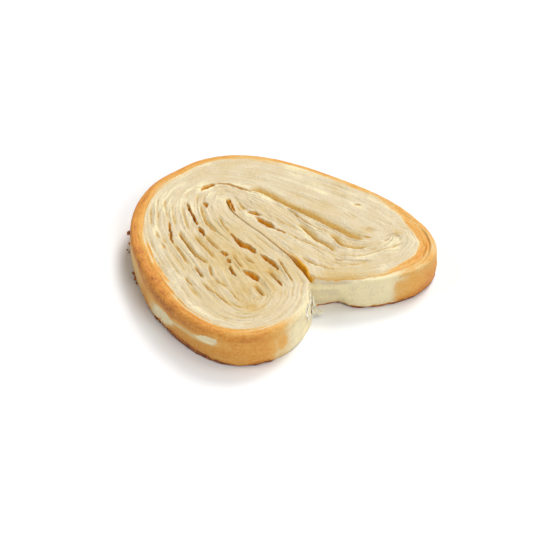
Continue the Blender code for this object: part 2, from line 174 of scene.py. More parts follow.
# Holes between the layers: depth, width, and the path of the near edge, with the hole on its left
HOLES = (
    (4.6, 0.7, ((-13, 31.5), (-15, 26.5), (-16.5, 21.5), (-17.8, 17.5))),
    (4.6, 1, ((-18.3, 16), (-19.2, 12.5), (-19.5, 10))),
    (3, 1.3, ((-20.6, -1.5), (-20.2, -5.5))),
    (3, 0.9, ((-21.3, -7), (-22, -10))),
    (4.2, 0.6, ((-23, -11), (-24.2, -14.2), (-24.6, -17.6))),
    (2.6, 0.6, ((-25, 25.6), (-27.8, 21), (-30.2, 16.7), (-31.5, 12.8))),
    (2.8, 0.9, ((-10.9, 6), (-11.4, 2.5), (-12, 0))),
    (5.6, 2.8, ((-11.3, 2.5), (-12.3, -2.5), (-11.3, -5.5), (-10.5, -9.8))),
    (4.2, 1.5, ((-9.7, -11.5), (-9.6, -15), (-9.5, -19.5), (-9.5, -23))),
    (4.8, 3.2, ((-20.8, -16.3), (-20.4, -20), (-19.8, -24.4))),
    (2, 1, ((-7.6, 28.5), (-8.6, 24.5))),
    (3.2, 1.2, ((1.2, 25.2), (-0.2, 21.5), (-1.4, 17.3))),
    (4.6, 1.9, ((2.6, 14.2), (3.2, 11.5), (4.3, 9.9), (5.8, 9))),
    (5.4, 2.9, ((3.2, 9.3), (2.6, 5.5), (3, 2.2), (3.8, -1.3))),
    (2.5, 0.6, ((3.7, -0.7), (4.8, -3), (5.8, -6))),
    (3, 0.8, ((-13.6, -26), (-14, -29), (-14.6, -32))),
    (3, 2.3, ((-3.7, 35.4), (-1.7, 35), (0.5, 34.8), (3, 35.5))),
    (3.5, 0.8, ((2.6, 35.7), (5, 33.8), (7, 31.5), (8.5, 28.4), (10, 25.7), (11.1, 23.7))),
    (1.6, 1.3, ((-2.7, -29), (-2.3, -33.6), (-1.3, -36.4), (2.4, -39.5), (7.1, -42.4))),
    (0.6, 0.8, ((-32.6, 23.3), (-34.5, 18))),
    (0.6, 0.8, ((-35, 16), (-36, 11.3))),
    (1, 0.8, ((38, -5.6), (39.3, -7.8))),
    (0.9, 0.8, ((28.2, -24.4), (29.9, -26.8))),
)

# Valleys between the layers: depth, reach of the far slope, and the path of the near edge
VALLEYS = (
    (0.9, 1.5, ((-19.4, 11), (-20.2, 6.4), (-20.4, 2.7), (-20.6, -2))),
    (0.7, 1.2, ((-31.4, 13.5), (-32.4, 8.5), (-33.5, 3.5), (-35.1, -1.5))),
    (0.5, 1.6, ((-17.6, 40.2), (-21.7, 33.5), (-25.1, 26))),
    (1.5, 2.2, ((-25, 19.5), (-27, 15), (-27.8, 11), (-29, 5.7), (-29.6, 1.5), (-28.8, -3.8), (-28, -6.5))),
    (1, 1.4, ((-28.2, -5), (-30.5, -9.5), (-32, -14))),
    (0.9, 1.2, ((-32.1, -14), (-31.9, -17.3), (-31.2, -21))),
    (0.8, 2.2, ((-21.6, 14.5), (-23.5, 8.7), (-23.8, 4.3), (-24.4, 0.1), (-25.2, -5))),
    (0.9, 2.3, ((-9, 29.5), (-12.2, 22.8), (-14.2, 17.9), (-15, 13.3), (-14.9, 8.5))),
    (0.6, 1.2, ((-7.8, 19.5), (-9.8, 13.1), (-10.8, 8.3), (-11.1, 4))),
    (1, 1.4, ((-17.4, -4), (-18.9, -8.6), (-19.5, -12), (-19.8, -16.5))),
    (0.9, 1.8, ((-15.7, -8.5), (-15.3, -13.1), (-14.3, -16))),
    (1, 2.8, ((-1.2, 18.5), (-2, 14), (-1.9, 9.5))),
    (0.9, 1.8, ((5.4, -5), (6.4, -8.4), (7.1, -11.2), (8.7, -15.3), (9.9, -19.9), (11.6, -24.5))),
    (1.7, 1.4, ((-33.2, -2.8), (-34.1, -6.5), (-34.4, -8.9), (-35.1, -12))),
    (0.9, 1.3, ((-39.4, -5.8), (-40.5, -10.2), (-40.6, -14.5))),
    (1.1, 2, ((-36.9, -12.5), (-37.3, -18.3), (-36.8, -22), (-36.7, -26.3), (-36.4, -30.2), (-36.1, -32.6))),
    (0.7, 1.2, ((-31.4, -21), (-31.6, -25.2), (-32.2, -29.2), (-32.7, -33))),
    (1.3, 1.6, ((-13.5, -19), (-13.4, -23.6), (-13.9, -27.4), (-14.6, -32))),
    (1.4, 2, ((-22.3, -25), (-23.3, -29.6), (-23.5, -34.5))),
    (1, 1, ((-5.7, -15.8), (-7, -21.4), (-8.4, -26.5), (-10.6, -34))),
    (1.8, 2.2, ((-1.4, -9), (-1.6, -13.8), (-1.4, -18), (-2, -22), (-2.4, -27))),
    (0.6, 7, ((-2.4, -31), (-1.3, -36), (2.1, -38.9), (6.8, -41.8), (11.3, -44.6), (15.4, -46.6))),
    (0.8, 2, ((-2.6, -29), (-2.2, -33.8), (-1.3, -36), (2.1, -38.3), (6.8, -40.9), (11.3, -43.5),
              (15.4, -45.4), (20.5, -47), (24.8, -47.9), (29.2, -48.4), (33.8, -48.2), (38.1, -46.9),
              (42, -44), (44.6, -41.5))),
    (0.5, 0.9, ((36, -49.4), (42.3, -45.9), (46, -41.4), (48.6, -35.6), (49.4, -30.6))),
    (1.1, 1.8, ((1.6, -20), (2.1, -25), (3.2, -28.5), (4.8, -31.2), (6.6, -33.7), (9.8, -36.5))),
    (2.2, 5.2, ((10.6, 26), (13.3, 21), (14.7, 15.5), (15.8, 10.6), (16.8, 6.7), (17.6, 3.4), (18.5, 0.4),
                (19.4, -3), (20.5, -7.8), (21.5, -11.6), (22.4, -15), (23.2, -19.3), (24, -22.5),
                (25.4, -24.9), (27.4, -27))),
    (0.9, 1.3, ((15.4, 8), (15.7, 2.7), (16, -1.4), (16.4, -5.3), (17.1, -9.3), (18.3, -12.8), (19.2, -16))),
    (1.5, 3.4, ((19, -14), (18.6, -18.4), (17.9, -22), (18.3, -25.1), (20.5, -27.7), (23.3, -30.1),
                (27.5, -30.8))),
    (1.7, 3.6, ((13, -2), (12.9, -7.6), (12.5, -11.9), (12.3, -15.9), (13.1, -19.8), (13.8, -23.2),
                (14.1, -26.5))),
    (0.7, 1.6, ((8.2, 6), (8.7, 0.5), (9.9, -3.5), (10.8, -8.5))),
    (0.7, 1.3, ((13.2, -26), (15.2, -29.4), (17.5, -31.7), (20.2, -33.6), (24.1, -34.6), (28.6, -35.3),
                (33.1, -36), (38.5, -35.2))),
    (0.9, 0.8, ((11.2, -28.2), (11.9, -30.7), (14, -32.1))),
    (0.4, 1.2, ((6.8, -24.5), (8.6, -29), (10.7, -32.4), (14, -35.2), (18.5, -38.3))),
    (0.55, 0.8, ((30.7, 19.8), (32.4, 16), (33.7, 13.4), (35.1, 9.8))),
    (0.55, 0.8, ((35.8, 7.4), (37.3, 3.5), (38.3, 0.4), (39.1, -2.4))),
    (0.55, 0.8, ((32.6, -19.6), (33.4, -22.3), (34.8, -25))),
    (0.35, 1, ((32.6, -6.6), (32.8, -11.3), (33.6, -14.8))),
    (0.6, 1, ((-6.3, 38), (-4.3, 37.4), (-2.8, 36.3))),
    (0.4, 0.9, ((-24.8, 38.5), (-29, 32.3), (-33.2, 25))),
    (0.4, 0.9, ((-19.2, 42.2), (-24.8, 34.1), (-28.8, 26.6))),
    (0.5, 1, ((-17, 35.2), (-21.6, 28.6), (-25, 20.8))),
    (0.6, 1, ((-14.4, 33.2), (-18.2, 26.3), (-21.1, 19.6), (-23.2, 14.2))),
)

# Amber patches of the top: place, reach and strength
AMBER_PATCHES = (
    ((-18, -10), 12, 0.3), ((-28, -28), 10, 0.2), ((-14, -24), 7, 0.2), ((-30.2, -36.9), 2.4, 0.42),
    ((-16, 8), 9, 0.18), ((8, 8), 8, 0.15), ((20, -22), 9, 0.15), ((10, -40), 6, 0.12),
    ((32.3, -21.9), 1.6, 0.3), ((40.2, -29.8), 1.2, 0.4), ((14, 40), 8, 0.1), ((29.5, 1.2), 2.6, 0.2),
    ((41.6, 8.1), 1.8, 0.25), ((23, -6), 4, 0.08), ((4, -36.5), 3.5, 0.3), ((10, -41.4), 2.4, 0.22),
    ((16.5, -44.8), 1.8, 0.22), ((24, -47.2), 1.6, 0.22), ((9, -43.9), 1.8, -0.2), ((14, -46.5), 1.8, -0.2),
    ((19, -48.4), 1.8, -0.2), ((24, -49.6), 1.8, -0.2), ((29, -50.2), 1.8, -0.2), ((34, -50), 1.8, -0.2),
    ((38.5, -48.6), 1.6, -0.15),
)

# Smooth hollows: place, reach and depth
HOLLOWS = (((2.2, 18.2), 3, 1.5), ((5.6, 7), 2.5, 0.6), ((-14.5, -22), 4.5, 0.7), ((-30.5, -30), 6, 0.5))

# Holes: torn edge, bluntness of the ends, open share of the width, near and far slopes, and how far beyond
# its reach a path is felt
HOLE_TEAR = 0.3
HOLE_BLUNTNESS = 0.6
HOLE_OPEN = 0.85
HOLE_START = -0.15
NEAR_SLOPE = 0.35
HOLE_FAR = 0.35
HOLE_FAR_SLOPE = 0.5
PATH_MARGIN = 2

# Deep amber painted into the holes and on their margins as the warm shade inside them: strength, start, reach
# beyond, and depths where it is full
PIT_MARGIN = 0.7
PIT_START = (-0.5, 0.1)
PIT_BEYOND = 1.0
PIT_DEEP = 3
PIT_FULL = 0.9

# Valleys: torn edge, ends, slopes, lip before the near edge, and depths between which the dough is painted
# amber as the shade in the valley
VALLEY_TEAR = 0.14
VALLEY_END = 0.35
VALLEY_END_MOST = 5.0
VALLEY_START = -0.1
VALLEY_CURVE = 1.6
LIP = 0.26
LIP_AT = 0.45
LIP_WIDTH = 0.4
VALLEY_SHADE = (-0.1, 1.4)

# How far and how much holes and valleys calm the layers beside them
CALM_REACH = 1.2
VALLEY_CALM = 0.85
VALLEY_CALM_REACH = 1.2

# Radius of the rounded rim round the loop, and where the lobes face each other over the seam
RIMS = (
    (0.2, 0.7), (0.215, 1.4), (0.24, 2.5), (0.36, 2.6), (0.42, 1.6), (0.46, 1), (0.6, 1), (0.67, 1.8),
    (0.72, 1.6), (0.745, 1), (0.8, 1),
)
SEAM_RIM = 0.7

# Browned band on the top face: turn, its width, and how brown its inner part and its outer ridge are
BANDS = (
    (0, 0.3, 0, 0), (0.2, 0.8, 0, 0), (0.225, 1.5, 0.05, 0.02), (0.24, 3.2, 0.2, 0.2),
    (0.257, 3.7, 0.42, 0.56), (0.28, 4.5, 0.45, 0.6), (0.29, 4.6, 0.48, 0.68), (0.305, 4.8, 0.5, 0.69),
    (0.33, 5.6, 0.54, 0.7), (0.35, 6.3, 0.55, 0.73), (0.374, 6.5, 0.56, 0.74), (0.4, 6.5, 0.54, 0.73),
    (0.42, 6.4, 0.52, 0.71), (0.444, 5.7, 0.5, 0.68), (0.47, 4.6, 0.49, 0.66), (0.5, 4, 0.43, 0.58),
    (0.54, 3.8, 0.42, 0.52), (0.6, 3.2, 0.38, 0.48), (0.64, 3.2, 0.4, 0.46), (0.66, 4, 0.42, 0.43),
    (0.68, 5.5, 0.46, 0.4), (0.7, 6.5, 0.48, 0.38), (0.742, 8, 0.44, 0.38), (0.75, 6.5, 0.46, 0.18),
    (0.76, 5, 0.5, 0), (0.775, 3.4, 0.27, 0), (0.79, 2.2, 0.08, 0), (0.8, 1.5, 0.02, 0), (0.81, 0.5, 0, 0),
    (1, 0.3, 0, 0),
)

# Browning of the wall: turn and amount, patches of it (turn, fraction of the height, half length, half
# height and change), and the scorched foot (turn and height)
WALL_BROWNING = (
    (0.2, 0), (0.236, 0), (0.243, 0.2), (0.25, 0.24), (0.257, 0.48), (0.28, 0.53), (0.33, 0.54), (0.36, 0.49),
    (0.39, 0.44), (0.41, 0.34), (0.44, 0.3), (0.46, 0.45), (0.5, 0.5), (0.68, 0.5), (0.715, 0.49),
    (0.735, 0.46), (0.752, 0.42), (0.757, 0), (0.8, 0),
)
WALL_PATCHES = (
    (0.344, 0.25, 0.017, 0.36, -0.54), (0.331, 0.45, 0.016, 0.38, -0.58), (0.317, 0.62, 0.012, 0.18, -0.46),
    (0.306, 0.66, 0.012, 0.05, -0.26), (0.296, 0.76, 0.009, 0.05, -0.2), (0.2915, 0.86, 0.007, 0.16, -0.5),
    (0.2872, 0.94, 0.0052, 0.15, -0.42), (0.246, 0.72, 0.003, 0.35, 0.14), (0.262, 0.06, 0.006, 0.09, 0.4),
    (0.325, 0.14, 0.03, 0.14, 0.2), (0.27, 0.55, 0.02, 0.2, 0.06), (0.72, 0.35, 0.012, 0.3, 0.14),
    (0.738, 0.1, 0.012, 0.2, 0.2), (0.2955, 0.82, 0.01, 0.2, -0.14), (0.337, 0.95, 0.03, 0.25, 0.1),
)
SCORCH = (
    (0.2, 0), (0.25, 0), (0.257, 0.16), (0.268, 0.08), (0.28, 0.2), (0.31, 0.28), (0.34, 0.2), (0.36, 0.1),
    (0.39, 0.06), (0.44, 0.04), (0.6, 0.07), (0.73, 0.14), (0.757, 0.1), (0.775, 0.12), (0.8, 0.08),
)

# Browning: where the band's outer ridge ends and its inner part starts, as shares of its width, how its inner
# boundary, its mottle and the wall's patches fade, where the wall takes the ridge's colour and is uneven, how
# brown its scorched foot is and how it fades, and how amber the wall is
BAND_OUTER = 0.25
BAND_INNER = 0.75
BAND_FADE = (-0.5, 1.3)
FAINT_BROWNING = 0.25
PATCH_FADE = (0.1, 1.8)
WALL_RIDGE = 0.72
BROWNED = 0.3
SCORCHED = 0.95
SCORCH_FADE = 0.02
WALL_AMBER = 0.02

# Burnt crumbs along the foot of the wall: first and last turn, and count
FOOT_CRUMBS = ((0.275, 0.4, 120), (0.256, 0.262, 8), (0.745, 0.795, 36), (0.4, 0.46, 12))

# All crumbs: seed, height and limits of the distance out and the radius of those at the foot, and limits of
# the unevenness, the stretch and the browning
CRUMB_SEED = 31
CRUMB_HEIGHT = 0.3
CRUMB_AWAY = (-0.9, -0.2)
CRUMB_RADII = (0.25, 0.75)
CRUMB_LUMPS = (0.6, 1.3)
CRUMB_STRETCH = (0.6, 1.2)
CRUMB_TOAST = (0.8, 1)

# Single burnt bits and loose crumbs: turn, distance out from the edge, height and radius
BURNT_BITS = (
    (0.446, 0.3, 8.6, 0.9), (0.441, 0.2, 7.4, 0.7), (0.421, 0.3, 0.9, 1), (0.427, 0.6, 0.7, 0.8),
    (0.416, 0.2, 0.6, 0.8), (0.423, 0.2, 2.2, 0.6), (0.492, 0.1, 11.4, 0.7), (0.448, 2.4, 0.4, 0.45),
    (0.445, 1.6, 0.4, 0.4),
)

# Torn flakes in the notch: height, turn, distance out from the wall, lean in degrees, width and length of
# single ones, and how many small ones there are along the wall, with the limits of the same values
FLAKES = (
    (3.6, 0.2012, 0.5, 4, 5.4, 6.4), (4.6, 0.2032, 0.4, 4, 4.8, 7.4), (0.9, 0.2065, 2.4, 84, 3.8, 5.4),
    (3.4, 0.2055, 1.1, 26, 2.6, 4.4),
)
SMALL_FLAKES = 18
SMALL_LIMITS = ((0.8, 11), (0.202, 0.222), (0, 0.25), (0, 20), (1.56, 3.12), (2.08, 4.16))

# All flakes: seed, cells each way, thickness, twist, curl, and the angle from which an edge looks sharp
FLAKE_SEED = 44
FLAKE_CELLS = 20
FLAKE_THICKNESS = 0.2
FLAKE_TWIST = 0.15
FLAKE_CURL = 0.08
FLAKE_SHARP = 50

# Outline and surface of a flake: width and taper, ripples of its sides, its ends and its surface, each with
# its strength and the radians that it runs through along the width and the length, and where they can start
FLAKE_WIDTH = 0.8
FLAKE_TAPER = 0.3
SIDE_RIPPLES = ((0.25, 0, 9), (0.12, 0, 23))
END_RIPPLE = (0.2, 11, 0)
CRINKLES = ((0.07, 0, 14), (0.07, 11, 4))
RIPPLE_START = 6

# Wall, from its foot: fraction of the height below the rim, and how far it stands in from the edge there; how
# flaky it is round the loop; and place, reach and amount of the foot's tuck and flare beside the notch
WALL = ((0, 0.9), (0.06, 0.45), (0.2, 0.2), (0.45, 0.05), (0.75, 0), (1, 0))
FLAKY_WALL = ((0.2, 0.4), (0.23, 0.4), (0.245, 0), (0.5, 0), (0.75, 0), (0.76, 0.14), (0.8, 0.14))
RIGHT_TUCK = ((1, -38), 4.8, 6)
LEFT_FLARE = ((-6.5, -40), 6, 1.8)

# Growth of the wall's rows from foot to rim, its height in the fields, how its foot leans in, how evenly it
# is lumpy from foot to rim, and how close to the foot it is ragged
WALL_ROW_GROWTH = 1.2
WALL_ACROSS = 12
WALL_LEAN = 1.5
WALL_FULLNESS = 0.7
FOOT_RAGGED = 3

# Under side, from the foot of the wall to the fold line: grooves at fractions of the way, hollows, browning,
# height and browning under the seam, and the size and start of the layers in the fields
UNDER_GROOVES = (0.14, 0.33, 0.51, 0.69, 0.86)
UNDER_GROOVE_DEPTH = 0.45
UNDER_GROOVE_WIDTH = 0.018
UNDER_HOLLOW = 0.15
UNDER_HOLLOWED = 0.2
UNDER_TOAST = 0.55
UNDER_GROOVE_PALER = 0.25
SEAM_UNDER = 0.4
SEAM_UNDER_TOAST = 0.5
UNDER_ACROSS = 25
UNDER_CROSS = -20

# Columns along the fold line and round each tip, steps between the points of a curve, rows, what the waves,
# streaks and fields span, and the least length of a normal
FOLD_COLUMNS = 344
TIP_COLUMNS = 84
CURVE_STEPS = 24
PATH_STEPS = 7
TOP_ROWS = 112
RIM_ROWS = 9
WALL_ROWS = 26
CRUST_ROWS = RIM_ROWS + 2
UNDER_ROWS = 30
LOOP_LENGTH = 440.0
LATTICE_HALF = 62.0
SPARE_CELLS = 3
TINY = 1e-12

# Camera: height above the floor and direction in degrees, distance, lens, the nearest that it sees in metres,
# and the point it looks at
CAMERA_ELEVATION = 36.5
CAMERA_AZIMUTH = -35.2
CAMERA_DISTANCE = 892.9
CAMERA_LENS = 162.1
CAMERA_CLIP = 0.05
CAMERA_TARGET = (-1.53, -4.57)

# Lamps: direction from the camera's right, anticlockwise, height in degrees, power and softness in degrees
LAMPS = (
    ("key", 62, 45, 2, 23), ("high", 30, 68, 0.95, 30), ("front", -54, 36, 1.5, 30),
    ("left", 185, 36, 0.9, 40),
)

# White light from all round, and the floor
SURROUND = 0.03
FLOOR_HALF = 3
FLOOR_COLOUR = (0.92, 0.92, 0.92, 1)
FLOOR_ROUGHNESS = 0.9

# Colours of the dough by how amber it is, whose amber end is also the painted shade of valleys and low
# places, of torn dough, of the deep amber painted as warm shade in holes and the seam by how deep it is, and
# of browning
AMBERS = (
    (0, (0.89, 0.78, 0.48)), (0.15, (0.705, 0.59, 0.395)), (0.4, (0.665, 0.515, 0.27)),
    (0.7, (0.62, 0.42, 0.15)), (1, (0.58, 0.34, 0.08)),
)
TORN = ((0, (0.92, 0.88, 0.74)), (1, (0.80, 0.68, 0.42)))
PIT_SHADE_COLOURS = ((0, (0.68, 0.49, 0.20)), (0.5, (0.72, 0.40, 0.06)), (1, (0.72, 0.34, 0.015)))
BROWNING = (
    (0, (0.80, 0.68, 0.42)), (0.2, (0.75, 0.54, 0.25)), (0.4, (0.77, 0.42, 0.105)), (0.6, (0.70, 0.30, 0.05)),
    (0.8, (0.56, 0.20, 0.035)), (1, (0.23, 0.065, 0.025)),
)

# Noises of the pastry, with scale and detail: fibres along the layers, patches, grain and mottle; and their
# weights in the colour and in the fine relief, in that order
FIBRES = (1.5, 3)
PATCHES = (230, 3)
GRAIN = (1400, 3)
MOTTLE = (620, 2)
FIBRE_STRETCH = 0.16
COLOUR_WEIGHTS = (0.22, 0.22, 0.5, 0.12)
RELIEF_WEIGHTS = (0.6, 0, 1, 0.8)

# How uneven the amber and the browning are, how soon browning covers the dough, relief and gloss
AMBER_UNEVENNESS = 0.5
LEAST_UNEVENNESS = 0.1
TOAST_UNEVENNESS = 1.6
BROWN_COVER = 3.5
BUMP_STRENGTH = 0.6
BUMP_DEPTH = 0.5
SPECULAR = 0.3
ROUGHNESS = 0.6
PIT_ROUGHNESS = 0.4


def curve(points, steps=CURVE_STEPS):
    """Smooth curve through the rows of points."""
    rows = np.array(points, float)
    padded = np.vstack([2 * rows[0] - rows[1], rows, 2 * rows[-1] - rows[-2]])
    t = np.linspace(0, 1, steps, endpoint=False)[:, None]
    pieces = []
    for a, b, c, d in zip(padded, padded[1:], padded[2:], padded[3:]):
        bend = (2 * a - 5 * b + 4 * c - d) * t ** 2 + (3 * b - a - 3 * c + d) * t ** 3
        pieces.append(b + 0.5 * ((c - a) * t + bend))
    return np.vstack(pieces + [rows[-1:]])


def facing_curve(points):
    """Smooth curve whose third column, the percentage of the fold line faced, never falls."""
    line = curve(points)
    line[:, 2] = np.maximum.accumulate(np.clip(line[:, 2], 0, 100))
    return line


def lengths(line):
    """Distance along a line at each of its points."""
    return np.r_[0, np.cumsum(np.hypot(*np.diff(line[:, :2], axis=0).T))]


def at(line, measure, values):
    """Points of a line where a measure along it has the given values."""
    return np.c_[np.interp(values, measure, line[:, 0]), np.interp(values, measure, line[:, 1])]


def spread(line):
    """Points at equal distances along a tip's edge, without its two ends, and their fractions of the way."""
    fractions = np.linspace(0, 1, TIP_COLUMNS + 1)[1:-1]
    distance = lengths(line)
    return at(line, distance, fractions * distance[-1]), fractions


def seam_curve():
    """Line up the left side of the seam, round its end and down the right side."""
    left = [(x - gap / 2, y, facing) for x, y, facing, gap, _ in SEAM]
    right = [(x + gap / 2, y, 100 - facing) for x, y, facing, gap, _ in SEAM[:-1]]
    return facing_curve(left + right[::-1])


def look_up(table, values, column=1):
    """Values of a column between the rows of a table, whose first column is what they are looked up by."""
    rows = np.array(table)
    return np.interp(values, rows[:, 0], rows[:, column])


class Sheet:
    """Lines across the sheet, in a loop from the seam's end down its left side, clockwise round and back.

    Each line has an edge end, a fold end, the number of its place on the fold line, and a turn from 0 to 1
    round the loop, which everything uneven follows.
    """

    def __init__(self):
        fold = curve(FOLD)
        edge = facing_curve(EDGE)
        seam = seam_curve()
        first = int(np.nonzero(edge[:, 2] > 0)[0][0]) - 1
        last = int(np.nonzero(edge[:, 2] >= 100)[0][0])
        places = np.arange(FOLD_COLUMNS + 1)
        share = places / FOLD_COLUMNS
        half = FOLD_COLUMNS // 2
        inner = at(seam, seam[:, 2], 100 * share)
        outer = at(edge[first:last + 1], edge[first:last + 1, 2], 100 * share)
        left_tip, tip = spread(edge[:first + 1])
        right_tip, _ = spread(edge[last:])
        self.fold_line = at(fold, lengths(fold), share * lengths(fold)[-1])
        self.edge = np.vstack([inner[half::-1], left_tip, outer, right_tip, inner[:half:-1]])
        self.place = np.r_[places[half::-1], 0 * tip, places, 0 * tip + FOLD_COLUMNS, places[:half:-1]]
        self.place = self.place.astype(int)
        self.turn = np.r_[LEFT_TIP - BACK_SPAN * share[half::-1], LEFT_TIP + TIP_SPAN * tip,
                          BACK + BACK_SPAN * share, RIGHT_TIP + TIP_SPAN * tip,
                          1 + LEFT_TIP - BACK_SPAN * share[:half:-1]]
        self.inner = np.r_[np.ones(half + 1), 0 * tip, 0 * share, 0 * tip, np.ones(half)]
        self.left = np.r_[np.ones(half + 1), 1 + 0 * tip, share < 0.5, 0 * tip, np.zeros(half)]
        self.width = np.hypot(*(self.fold_line[self.place] - self.edge).T)
        self.across = (self.fold_line[self.place] - self.edge) / self.width[:, None]
        self.middle = (edge[:, :2].max(axis=0) + edge[:, :2].min(axis=0)) / 2
        self.rim = np.where(self.inner > 0, SEAM_RIM, look_up(RIMS, self.turn))
        self.bold = look_up(BOLDNESS, self.turn)
        self.run = self.turn * LOOP_LENGTH
        count = len(self.edge)
        self.outside = np.arange(half, count - half + 1)
        self.seam_path = np.r_[count - half:count, 0:half + 1]
        steps = np.arange(2 * half + 1)
        self.seam_steps = np.clip(np.minimum(steps, 2 * half - steps), 1, None) - 1

    def point(self, inset):
        """Places at the given distances in from the edge."""
        return self.edge + self.across * inset[..., None]

    def seam_line(self):
        """Line midway between the seam's sides, from the notch upwards, and the gap's depth along it."""
        path = self.edge[self.seam_path]
        half = len(path) // 2
        line = (path[1:half + 1] + path[:half - 1:-1][1:]) / 2
        rows = np.array(SEAM)
        facing = rows[-1, 2] * np.arange(1, half + 1) / half
        return line, np.interp(facing, rows[:, 2], rows[:, 4])


def wave(name, turn, number=0):
    """Seeded uneven wave round the loop, with its strength from the table of waves."""
    seed, strength, first, last = WAVES[name]
    rng = np.random.default_rng(seed + number)
    total = np.zeros_like(turn)
    for cycles in range(first, last):
        total += rng.normal() * np.cos(2 * math.pi * (cycles * turn + rng.random()))
    return strength * total / math.sqrt(last - first)


def blend_grid(grid, u, v):
    """Values of a grid between its points, the first axis taken round and round."""
    i, j = np.floor(u).astype(int), np.floor(v).astype(int)
    a, b = u - i, v - j
    a, b = a * a * (3 - 2 * a), b * b * (3 - 2 * b)
    after, i = (i + 1) % len(grid), i % len(grid)
    low = grid[i, j] * (1 - a) + grid[after, j] * a
    high = grid[i, j + 1] * (1 - a) + grid[after, j + 1] * a
    return low * (1 - b) + high * b


def streaks(name, turn, across):
    """Seeded uneven field along the layers, with its strength and cells from the table of streaks."""
    seed, strength, along_size, across_size = STREAKS[name]
    cells = int(LOOP_LENGTH / along_size)
    lanes = int(across.max() / across_size) + SPARE_CELLS
    grid = np.random.default_rng(seed).uniform(-1, 1, (cells, lanes))
    return strength * blend_grid(grid, turn * cells, np.maximum(across, 0) / across_size)


def lattice(name, xy):
    """Seeded uneven field over the floor, with its strength and cells from the table of lattices."""
    seed, strength, size = LATTICES[name]
    cells = int(2 * LATTICE_HALF / size) + SPARE_CELLS
    grid = np.random.default_rng(seed).uniform(-1, 1, (cells, cells))
    return strength * blend_grid(grid, (xy[..., 0] + LATTICE_HALF) / size, (xy[..., 1] + LATTICE_HALF) / size)


def mound(xy, centre, reach, height):
    """Smooth mound with the given height at its centre."""
    return height * np.exp(-((xy - centre) ** 2).sum(axis=-1) / (2 * reach ** 2))


def mounds(xy, rows):
    """Sum of mounds, each a row with its centre, reach and height."""
    return sum(mound(xy, *row) for row in rows)


def ridge(off, width):
    """Rounded ridge along a line, 1 in its middle."""
    return np.exp(-(off / width) ** 2)


def ramp(value, start, end):
    """Smooth rise from 0 at start to 1 at end."""
    share = np.clip((value - start) / (end - start), 0, 1)
    return share * share * (3 - 2 * share)


def at_least(least, value):
    """A value from 0 to 1, squeezed to run from the least to 1."""
    return least + (1 - least) * value


def thickness(xy):
    """Height of the slice's top face at a place, before the relief of its layers."""
    return THICKNESS + mounds(xy, RISES)


def beside_path(xy, path, reach):
    """Distance to a path's left and along it from its nearer end, its length, and the places near it."""
    line = curve(path, PATH_STEPS)
    low, high = line.min(axis=0) - reach, line.max(axis=0) + reach
    near = np.nonzero(((xy > low) & (xy < high)).all(axis=-1))
    spots = xy[near][:, None]
    start, step = line[:-1], np.diff(line, axis=0)
    length = np.hypot(*step.T)
    share = np.clip(((spots - start) * step).sum(axis=-1) / length ** 2, 0, 1)
    offset = spots - (start + step * share[..., None])
    distance = np.hypot(offset[..., 0], offset[..., 1])
    nearest = distance.argmin(axis=1)
    pick = np.arange(len(nearest)), nearest
    side = np.sign(step[nearest, 0] * offset[pick][:, 1] - step[nearest, 1] * offset[pick][:, 0])
    before = np.r_[0, np.cumsum(length)]
    run = before[nearest] + share[pick] * length[nearest]
    return distance[pick] * side, np.minimum(run, before[-1] - run), before[-1], near


class Carving:
    """Height lost to holes, valleys and hollows, how calm the dough is beside them, and the amber painted in
    as shade there.
    """

    def __init__(self, xy):
        self.xy = xy
        self.change, self.amber, self.pit = np.zeros((3, *xy.shape[:-1]))
        self.calm = np.ones(xy.shape[:-1])
        self.tear, self.jags = lattice("tear", xy), lattice("jags", xy)
        for hole in HOLES:
            self.carve_hole(*hole)
        for valley in VALLEYS:
            self.carve_valley(*valley)
        self.change -= mounds(xy, HOLLOWS)

    def carve_hole(self, depth, width, path):
        """Open hole with a torn edge, and deep amber painted into it and onto its margin as the warm shade
        inside.
        """
        left, from_end, length, near = beside_path(self.xy, path, 2 * width + PATH_MARGIN)
        end = np.clip(1 - (1 - 2 * from_end / length) ** 2, 0, 1) ** HOLE_BLUNTNESS
        left = left + HOLE_TEAR * self.tear[near] + self.jags[near]
        wide = HOLE_OPEN * width * end
        far = 1 - ramp(left, HOLE_FAR * wide, wide + HOLE_FAR_SLOPE)
        cut = ramp(left, HOLE_START, NEAR_SLOPE) * far * end
        self.change[near] -= depth * cut
        margin = ramp(left, *PIT_START) * (1 - ramp(left, wide, wide + PIT_BEYOND)) * end
        margin = PIT_MARGIN * margin * min(depth / PIT_DEEP, 1)
        # Deep amber painted as the warm shade inside the hole and on its margin
        self.pit[near] = np.maximum(self.pit[near], np.maximum(ramp(depth * cut, 0.0, PIT_FULL), margin))
        beyond = np.maximum(np.abs(left - wide / 2) - wide / 2, 0)
        self.calm[near] *= 1 - ridge(beyond, CALM_REACH) * end

    def carve_valley(self, depth, reach, path):
        """Steep step down with a raised lip before it and a long slope back up."""
        left, from_end, length, near = beside_path(self.xy, path, reach + PATH_MARGIN)
        end = ramp(from_end, 0, min(VALLEY_END * length, VALLEY_END_MOST))
        left = left + VALLEY_TEAR * self.tear[near]
        slope = np.clip(1 - (left - NEAR_SLOPE) / reach, 0, 1) ** VALLEY_CURVE
        cut = ramp(left, VALLEY_START, NEAR_SLOPE) * slope * end
        self.change[near] += LIP * ridge(left + LIP_AT, LIP_WIDTH) * end - depth * cut
        # Amber painted as the shade in the valley, by its depth
        self.amber[near] = np.maximum(self.amber[near], ramp(depth * cut, *VALLEY_SHADE))
        smooth = np.where(left > 0, np.clip(VALLEY_CALM_REACH - left / reach, 0, 1), ridge(left, CALM_REACH))
        self.calm[near] *= 1 - VALLEY_CALM * smooth * end


